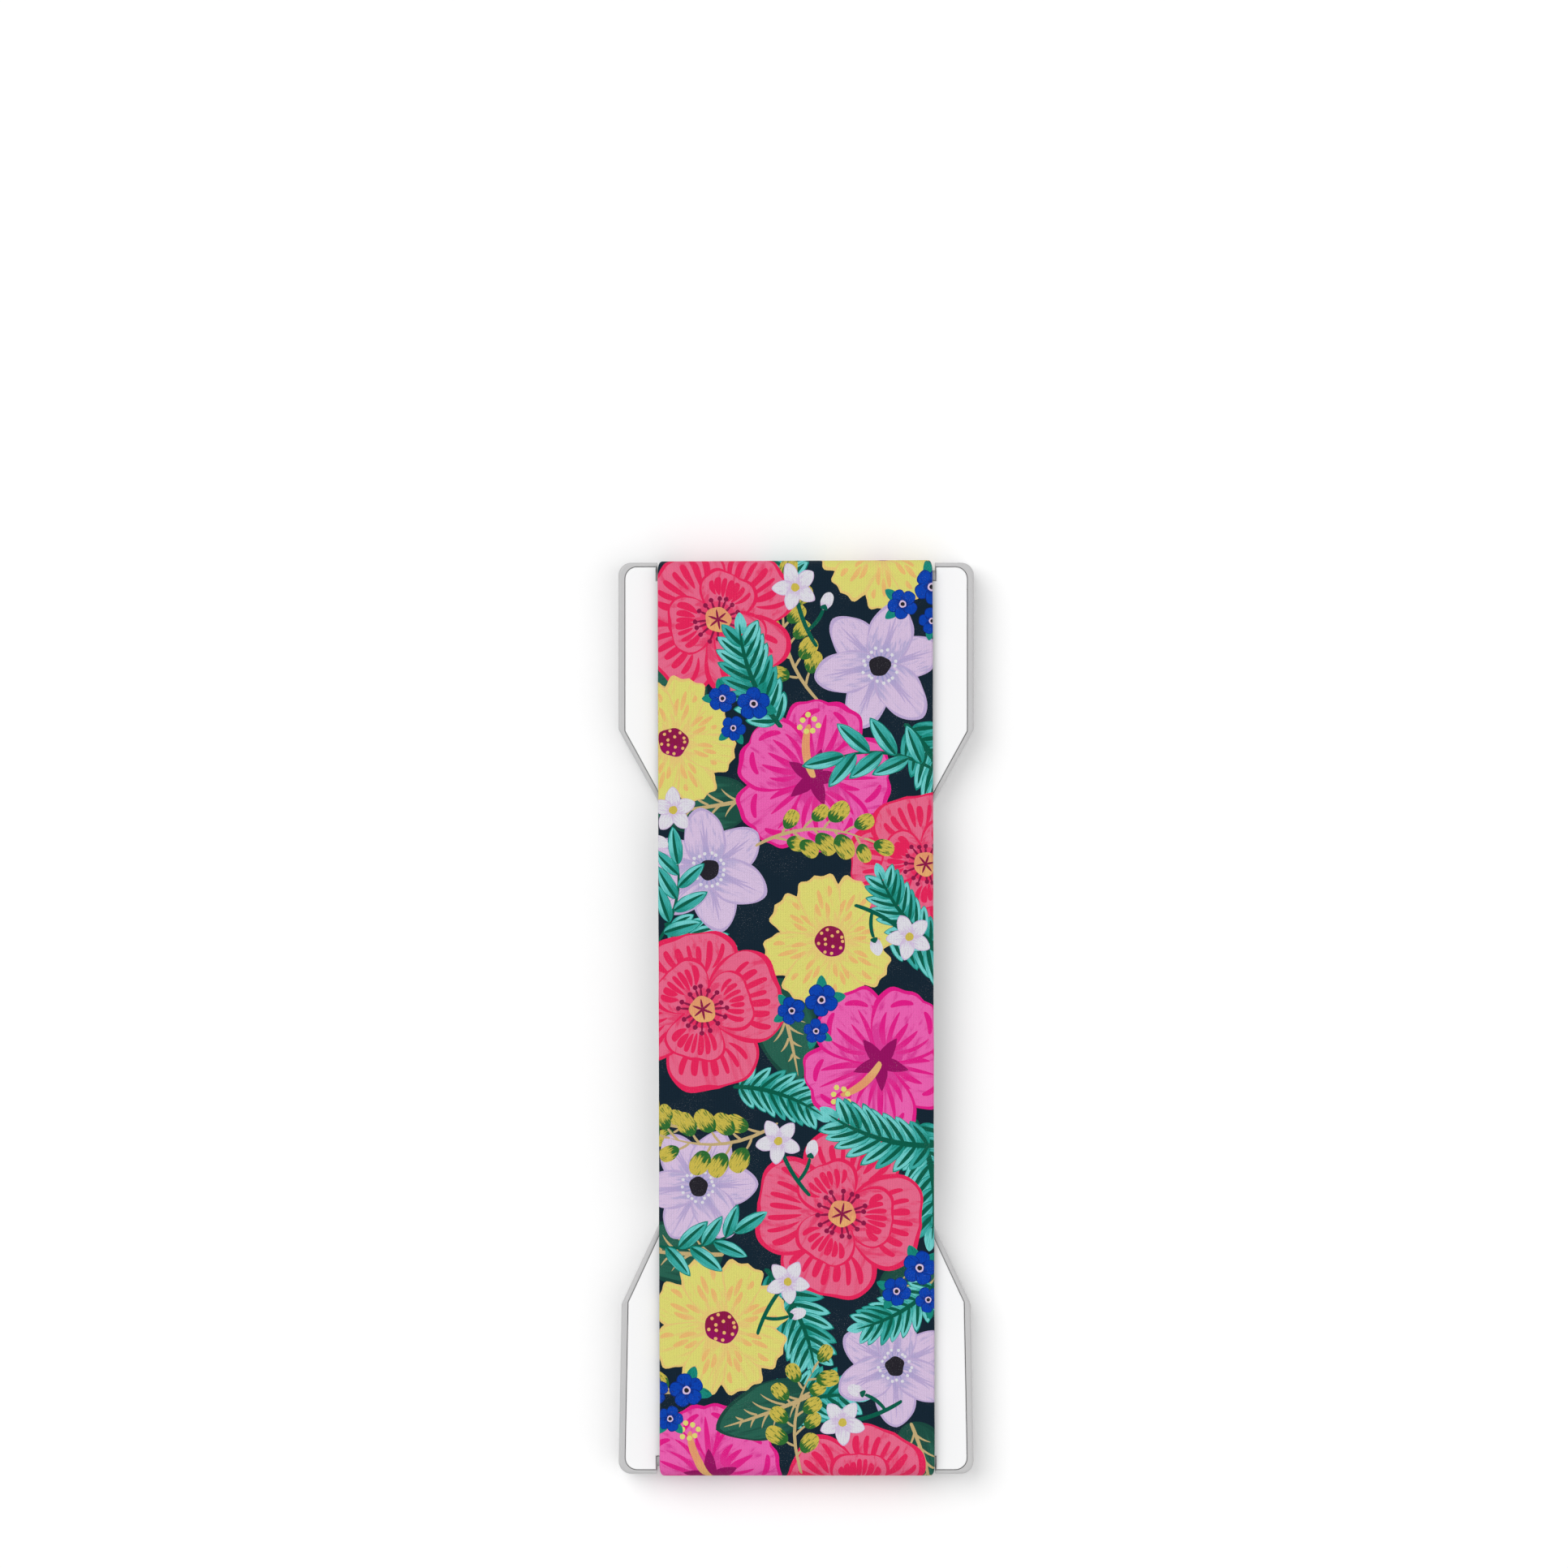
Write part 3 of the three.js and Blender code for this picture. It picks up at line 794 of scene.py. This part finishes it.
cloth_values, petal_values, wash_values, shade_values, streak_values = [], [], [], [], []
for polygon in strap_mesh.polygons:
    for index in polygon.vertices:
        x, y = strap_mesh.vertices[index].co.xy / MM
        cloth_values += (x, y)
        if polygon.material_index < 2:
            petal_values += (0, 0)
            wash_values += (BACKING, NAVY)[polygon.material_index]
            shade_values += (BACKING, NAVY)[polygon.material_index]
            streak_values.append(0)
            continue
        shape = kept_shapes[polygon.material_index - 2]
        _, foot, ahead, aside, length, half, wash, shade, streaks = shape
        dx, dy = x - foot[0], y - foot[1]
        petal_values += ((dx * aside[0] + dy * aside[1]) / half, (dx * ahead[0] + dy * ahead[1]) / length)
        wash_values += wash
        shade_values += shade
        streak_values.append(streaks)
for label, values in (("cloth", cloth_values), ("petal", petal_values)):
    strap_mesh.uv_layers.new(name=label).data.foreach_set("uv", values)
for label, values in (("wash", wash_values), ("shade", shade_values)):
    strap_mesh.color_attributes.new(label, "FLOAT_COLOR", "CORNER").data.foreach_set("color", values)
strap_mesh.attributes.new("streaks", "FLOAT", "CORNER").data.foreach_set("value", streak_values)
strap_mesh.polygons.foreach_set("material_index", [0] * len(strap_mesh.polygons))

# The tree that wraps the flat skin: round the section of the band first, then along the base, round each
# bar and back underneath. Out_x and out_y are the distances from the skin's middle.
wrap = bpy.data.node_groups.new("wrap_strap", "GeometryNodeTree")
WRAP_SIZES = {
    "Face Half": face_half, "Selvedge Radius": SELVEDGE_RADIUS, "Thickness": STRAP_THICKNESS,
    "Bar Centre": bar_centre, "Bar Height": bar_height, "Turn Radius": turn_radius,
    "Fold Tuck": FOLD_TUCK, "Lean": STRAP_LEAN, "Tilt": FOLD_TILT,
    "Waver": WAVER, "Waver Length": WAVER_LENGTH,
}
wrap.interface.new_socket("Geometry", in_out="INPUT", socket_type="NodeSocketGeometry")
wrap.interface.new_socket("Geometry", in_out="OUTPUT", socket_type="NodeSocketGeometry")
wrap.interface.new_socket("Finish", in_out="INPUT", socket_type="NodeSocketMaterial")
for label in WRAP_SIZES:
    wrap.interface.new_socket(label, in_out="INPUT", socket_type="NodeSocketFloat")
wrap_in = wrap.nodes.new("NodeGroupInput")
wrap_out = wrap.nodes.new("NodeGroupOutput")
sized = wrap_in.outputs

minus = partial(reckon, wrap, "SUBTRACT")
times = partial(reckon, wrap, "MULTIPLY")
times_plus = partial(reckon, wrap, "MULTIPLY_ADD")
over = partial(reckon, wrap, "DIVIDE")
at_most = partial(reckon, wrap, "MINIMUM")
at_least = partial(reckon, wrap, "MAXIMUM")
absolute = partial(reckon, wrap, "ABSOLUTE")
sine = partial(reckon, wrap, "SINE")
cosine = partial(reckon, wrap, "COSINE")


def held(value, low, high):
    """The value, kept between low and high."""
    return at_most(at_least(value, low), high)


flat_place = add_node(wrap, "GeometryNodeInputPosition").outputs[0]
flat_split = add_node(wrap, "ShaderNodeSeparateXYZ", Vector=flat_place)
flat_x, flat_y = flat_split.outputs["X"], flat_split.outputs["Y"]
out_x, out_y = absolute(flat_x), absolute(flat_y)
sign_x, sign_y = reckon(wrap, "SIGN", flat_x), reckon(wrap, "SIGN", flat_y)
radius = sized["Selvedge Radius"]
half_thick = times(sized["Thickness"], 0.5)
side = minus(sized["Thickness"], times(radius, 2.0))
quarter = times(radius, math.pi / 2)
past_face = minus(out_x, sized["Face Half"])
past_round = minus(past_face, quarter)
past_side = minus(past_round, side)
past_back = at_least(minus(past_side, quarter), 0.0)
first_turn = held(over(past_face, radius), 0.0, math.pi / 2)
second_turn = held(over(past_side, radius), 0.0, math.pi / 2)
down_side = held(past_round, 0.0, side)
section_x = times_plus(sine(first_turn), radius, at_most(out_x, sized["Face Half"]))
section_x = minus(section_x, times(minus(1.0, cosine(second_turn)), radius))
section_x = minus(section_x, past_back)
proud = minus(half_thick, times(minus(1.0, cosine(first_turn)), radius))
proud = minus(proud, down_side)
proud = minus(proud, times(sine(second_turn), radius))

run = at_most(out_y, sized["Bar Centre"])
past_run = over(minus(out_y, sized["Bar Centre"]), sized["Turn Radius"])
bent = held(past_run, 0.0, math.pi)
past_turn = times(at_least(minus(past_run, math.pi), 0.0), sized["Turn Radius"])
reach = reckon(wrap, "ADD", sized["Turn Radius"], proud)
band_y = times_plus(sine(bent), reach, minus(run, past_turn))
band_z = times_plus(cosine(bent), reach, sized["Bar Height"])
tuck = times(reckon(wrap, "POWER", sine(bent), 5.0), sized["Fold Tuck"])
edge_share = over(section_x, reckon(wrap, "ADD", sized["Face Half"], radius))
edge_share = reckon(wrap, "POWER", edge_share, 3.0)  # near 1 at the selvedges alone
waver_along = over(flat_y, sized["Waver Length"])
waver_place = add_node(wrap, "ShaderNodeCombineXYZ", X=times(sign_x, 3.0), Y=waver_along).outputs[0]
waver_noise = add_node(wrap, "ShaderNodeTexNoise", Vector=waver_place, Scale=1.0, Detail=2.0).outputs[0]
waver = times(times_plus(waver_noise, 2.0, -1.0), sized["Waver"])
drawn_in = times(minus(tuck, waver), edge_share)
band_x = times(minus(section_x, drawn_in), sign_x)
signed_y = times(band_y, sign_y)
upper_share = between(wrap, signed_y, 0.0, sized["Bar Centre"])
tilt = times(times(band_x, sized["Tilt"]), upper_share)
leant_x = times_plus(signed_y, sized["Lean"], band_x)
leant_y = reckon(wrap, "ADD", signed_y, tilt)
wrapped = add_node(wrap, "ShaderNodeCombineXYZ", X=leant_x, Y=leant_y, Z=band_z).outputs[0]
skin_made = sized["Geometry"]
for kind, options in (
    ("SetPosition", {"Position": wrapped}), ("MergeByDistance", {"Distance": MERGE_WITHIN * MM}),
    ("SetShadeSmooth", {"Shade_Smooth": True}), ("RealizeInstances", {}),
    ("SetMaterial", {"Material": sized["Finish"]}),
):
    skin_made = add_node(wrap, "GeometryNode" + kind, Geometry=skin_made, **options).outputs[0]
put(wrap, wrap_out.inputs["Geometry"], skin_made)

# The knit: loops in columns, each a V of two yarns. It gives the relief, and the height that the print's
# painted shade follows: darker in the hollows between loops, a little lighter on their tops.
WALE = 0.34  # across one column of loops, in millimetres
COURSE = 0.27  # along one loop
LOOP_RELIEF = 0.05 * MM
GLINT = linear(240, 240, 246)  # of a yarn that catches the light
GLINT_SHARE = 0.2
knit, knit_in, knit_out = new_group(
    "knit",
    {"Cloth": ("Vector", None), "Wale": ("Float", WALE), "Course": ("Float", COURSE)},
    {"Height": ("Float", None), "Glint": ("Float", None)},
)
knit_split = add_node(knit, "ShaderNodeSeparateXYZ", Vector=knit_in.outputs["Cloth"])
knit_column = reckon(knit, "DIVIDE", knit_split.outputs["X"], knit_in.outputs["Wale"])
knit_row = reckon(knit, "DIVIDE", knit_split.outputs["Y"], knit_in.outputs["Course"])
knit_leg = reckon(knit, "PINGPONG", knit_column, 0.5)
knit_yarn = reckon(knit, "SINE", reckon(knit, "MULTIPLY", knit_leg, math.tau))
knit_phase = reckon(knit, "MULTIPLY_ADD", knit_leg, 1.7, knit_row)
knit_wave = reckon(knit, "COSINE", reckon(knit, "MULTIPLY", knit_phase, math.tau))
knit_loop = reckon(knit, "MULTIPLY_ADD", knit_wave, 0.5, 0.5)
knit_height = reckon(knit, "MULTIPLY", knit_yarn, reckon(knit, "MULTIPLY_ADD", knit_loop, 0.6, 0.4))
knit_fuzz = add_node(knit, "ShaderNodeTexNoise", Vector=knit_in.outputs["Cloth"], Scale=9.0, Detail=3.0)
put(knit, knit_out.inputs["Height"], reckon(knit, "MULTIPLY_ADD", knit_fuzz.outputs[0], 0.5, knit_height))
knit_spark = add_node(knit, "ShaderNodeTexNoise", Vector=knit_in.outputs["Cloth"], Scale=11.0, Detail=1.0)
knit_patch = add_node(knit, "ShaderNodeTexNoise", Vector=knit_in.outputs["Cloth"], Scale=0.22, Detail=1.0)
knit_glint = reckon(
    knit, "MULTIPLY", between(knit, knit_spark.outputs[0], 0.64, 0.76),
    between(knit, knit_patch.outputs[0], 0.45, 0.6),
)
put(knit, knit_out.inputs["Glint"], knit_glint)

# The brushwork: the second dye is streaked over the first along the petal, and gathers at its foot.
brushwork, brush_in, brush_out = new_group(
    "brushwork",
    {
        "Wash": ("Color", None), "Shade": ("Color", None), "Petal": ("Vector", None),
        "Cloth": ("Vector", None), "Streaks": ("Float", 0.5),
    },
    {"Color": ("Color", None)},
)
brush_petal = brush_in.outputs["Petal"]
brush_stretch = add_node(brushwork, "ShaderNodeMapping", Vector=brush_petal, Scale=(3.4, 1.5, 1.0))
brush_offset = add_node(brushwork, "ShaderNodeVectorMath", {"operation": "MULTIPLY_ADD"})
put(brushwork, brush_offset.inputs[0], brush_in.outputs["Cloth"])
put(brushwork, brush_offset.inputs[1], (0.13, 0.13, 0.0))  # no two petals are streaked alike
put(brushwork, brush_offset.inputs[2], brush_stretch.outputs["Vector"])
brush_noise = add_node(
    brushwork, "ShaderNodeTexNoise", Vector=brush_offset.outputs[0], Scale=1.6, Detail=3.0, Roughness=0.6,
)
brush_along = add_node(brushwork, "ShaderNodeSeparateXYZ", Vector=brush_petal).outputs["Y"]
brush_foot = between(brushwork, brush_along, 0.55, 0.05)
brush_level = reckon(brushwork, "MULTIPLY_ADD", brush_foot, 0.28, brush_noise.outputs[0])
brush_marks = between(brushwork, brush_level, 0.5, 0.72, 0.0, 1.6)
brush_share = reckon(brushwork, "MULTIPLY", brush_marks, brush_in.outputs["Streaks"])
brush_share = reckon(brushwork, "MINIMUM", brush_share, 1.0)
put(
    brushwork, brush_out.inputs["Color"],
    blend_colours(brushwork, brush_share, brush_in.outputs["Wash"], brush_in.outputs["Shade"]),
)

strap_finish, strap_tree, strap_shader = new_finish(
    "printed_knit", Roughness=0.75, Specular_IOR_Level=0.08, Sheen_Weight=0.02, Sheen_Roughness=0.4,
)
cloth_place = add_node(strap_tree, "ShaderNodeUVMap", {"uv_map": "cloth"}).outputs["UV"]
petal_place = add_node(strap_tree, "ShaderNodeUVMap", {"uv_map": "petal"}).outputs["UV"]
wash_seen = add_node(strap_tree, "ShaderNodeAttribute", {"attribute_name": "wash"}).outputs["Color"]
shade_seen = add_node(strap_tree, "ShaderNodeAttribute", {"attribute_name": "shade"}).outputs["Color"]
streaks_seen = add_node(strap_tree, "ShaderNodeAttribute", {"attribute_name": "streaks"}).outputs["Fac"]
painted = use_group(
    strap_tree, brushwork, Wash=wash_seen, Shade=shade_seen, Petal=petal_place, Cloth=cloth_place,
    Streaks=streaks_seen,
)
loops = use_group(strap_tree, knit, Cloth=cloth_place)
# Painted light and shade: the print is darkened in the hollows between the loops and lightened a little on
# the loops' tops.
loop_painted_shade = between(strap_tree, loops.outputs["Height"], 0.1, 1.1, 0.86, 1.04)
print_with_painted_shade = add_node(strap_tree, "ShaderNodeVectorMath", {"operation": "SCALE"})
put(strap_tree, print_with_painted_shade.inputs[0], painted.outputs["Color"])
put(strap_tree, print_with_painted_shade.inputs["Scale"], loop_painted_shade)
glinting = reckon(strap_tree, "MULTIPLY", loops.outputs["Glint"], GLINT_SHARE)
put(
    strap_tree, strap_shader.inputs["Base Color"],
    blend_colours(strap_tree, glinting, print_with_painted_shade.outputs[0], GLINT),
)
put(
    strap_tree, strap_shader.inputs["Roughness"],
    between(strap_tree, loops.outputs["Height"], 0.1, 1.1, 0.85, 0.66),
)
feed_bump(strap_tree, strap_shader, loops.outputs["Height"], LOOP_RELIEF, 0.8)

flat_strap = new_object("strap_flat", strap_mesh)
wrapping = flat_strap.modifiers.new("wrap", "NODES")
wrapping.node_group = wrap
wrap_values = {**WRAP_SIZES, "Finish": strap_finish}
for item in wrap.interface.items_tree:
    if item.in_out == "INPUT" and item.name in wrap_values:
        wrapping[item.identifier] = wrap_values[item.name]
bpy.context.view_layer.update()
evaluated = flat_strap.evaluated_get(bpy.context.evaluated_depsgraph_get())
band_mesh = bpy.data.meshes.new_from_object(evaluated)
bpy.data.objects.remove(flat_strap)

# Walls for the punched holes and ends for the tails.
band = bmesh.new()
band.from_mesh(band_mesh)
open_edges = [edge for edge in band.edges if edge.is_boundary]
REACH = POST_HOLE_RADIUS + 0.3 * MM  # from a post's middle, round all the edges of its hole
for end in (-1, 1):
    for place in post_places:
        near = [
            edge for edge in open_edges
            if all(
                math.hypot(v.co.x - place - STRAP_LEAN * v.co.y, v.co.y - end * post_row) < REACH
                for v in edge.verts
            )
        ]
        bmesh.ops.bridge_loops(band, edges=near)
tips = [edge for edge in band.edges if edge.is_boundary]
bmesh.ops.holes_fill(band, edges=tips)
bmesh.ops.recalc_face_normals(band, faces=band.faces)
for face in band.faces:
    face.smooth = True
band.to_mesh(band_mesh)
band.free()
band_mesh.name = "printed_strap"
printed_strap = new_object("printed_strap", band_mesh)
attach(printed_strap, "root")
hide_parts("strap")


# Studio
# A plain white floor, soft lamps at a level where a colour renders about as it is written, and a camera
# that looks straight down on the strap.

FLOOR_HALF = 1.5
FLOOR_WHITE = (0.92, 0.92, 0.92, 1)
LIGHT = (1, 1, 1, 1)
WORLD_LEVEL = 0.52
FLOOR_LIFT = 0.1  # added to what the camera sees of the floor, so that it is white and keeps its shadow

floor_mesh = bpy.data.meshes.new("floor")
pad_foot = [v.co for v in nodes["adhesive_pad"].data.vertices if v.co.z < 1e-6]
pad_outline = {(round(p.x, 6), round(p.y, 6)) for p in pad_foot}
pad_outline = sorted(pad_outline, key=lambda p: math.atan2(p[1], p[0]))
floor_corners = rectangle(FLOOR_HALF, FLOOR_HALF)
floor_points, _, floor_faces, _, _, floor_from = delaunay_2d_cdt(
    [Vector(p) for p in floor_corners + pad_outline], [],
    [list(range(4)), list(range(4, 4 + len(pad_outline)))], 0, 1e-7, True,
)
floor_faces = [face for face, sources in zip(floor_faces, floor_from) if sources == [0]]
floor_mesh.from_pydata([(p.x, p.y, 0) for p in floor_points], [], floor_faces)
floor = new_object("floor", floor_mesh)
floor_finish, floor_tree, floor_shader = new_finish("white_floor", Roughness=0.9, Specular_IOR_Level=0.1)
floor_shader.inputs["Base Color"].default_value = FLOOR_WHITE


def seen_rays(tree):
    """1 for what the camera sees, also in a reflection or through glass, and 0 for all other light."""
    path = add_node(tree, "ShaderNodeLightPath")
    seen = path.outputs["Is Camera Ray"]
    for ray in ("Is Glossy Ray", "Is Transmission Ray"):
        seen = reckon(tree, "MAXIMUM", seen, path.outputs[ray])
    return seen


floor_lift = reckon(floor_tree, "MULTIPLY", seen_rays(floor_tree), FLOOR_LIFT)
put(floor_tree, floor_shader.inputs["Emission Strength"], floor_lift)
floor_shader.inputs["Emission Color"].default_value = LIGHT
see_through = add_node(floor_tree, "ShaderNodeBsdfTransparent")
floor_sides = add_node(floor_tree, "ShaderNodeMixShader")
put(floor_tree, floor_sides.inputs[0], add_node(floor_tree, "ShaderNodeNewGeometry").outputs["Backfacing"])
put(floor_tree, floor_sides.inputs[1], floor_shader.outputs[0])
put(floor_tree, floor_sides.inputs[2], see_through.outputs[0])
put(floor_tree, floor_tree.nodes["Material Output"].inputs["Surface"], floor_sides.outputs[0])
floor_mesh.materials.append(floor_finish)

world = bpy.data.worlds.new("studio")
bpy.context.scene.world = world
world.use_nodes = True
sky = world.node_tree
sky_level = add_node(sky, "ShaderNodeMapRange", Value=seen_rays(sky), To_Min=WORLD_LEVEL, To_Max=1.0)
sky.nodes["Background"].inputs["Color"].default_value = LIGHT
put(sky, sky.nodes["Background"].inputs["Strength"], sky_level.outputs["Result"])

# Name, the way to the light, how wide it is in degrees, and the share of the floor's light that it gives.
LAMPS = (
    ("key_light", (-0.6, 0.5, 1.0), 50, 0.34),
    ("fill_light", (0.8, -0.3, 0.9), 70, 0.16),
)
for name, way, width, share in LAMPS:
    sun = bpy.data.lights.new(name, "SUN")
    sun.angle = math.radians(width)
    toward = Vector(way).normalized()
    sun.energy = math.pi * share / toward.z
    new_object(name, sun).rotation_euler = toward.to_track_quat("Z", "Y").to_euler()

# The photograph is a square of so many pixels, and the base's middle lies at this pixel of it.
FRAME_PIXELS = 1932
BASE_MIDDLE = (981, 1255)
PIXEL = 0.0894 * MM
CAMERA_HEIGHT = 1.0
SENSOR = 36.0

camera_data = bpy.data.cameras.new("camera")
camera_data.sensor_width = SENSOR
frame_width = FRAME_PIXELS * PIXEL
camera_data.lens = SENSOR * (CAMERA_HEIGHT - strap_high.z) / frame_width
camera = new_object("camera", camera_data)
frame_middle = FRAME_PIXELS / 2
camera.location = (
    (frame_middle - BASE_MIDDLE[0]) * PIXEL, (BASE_MIDDLE[1] - frame_middle) * PIXEL, CAMERA_HEIGHT,
)
bpy.context.scene.camera = camera
bpy.context.scene.view_settings.view_transform = "Standard"
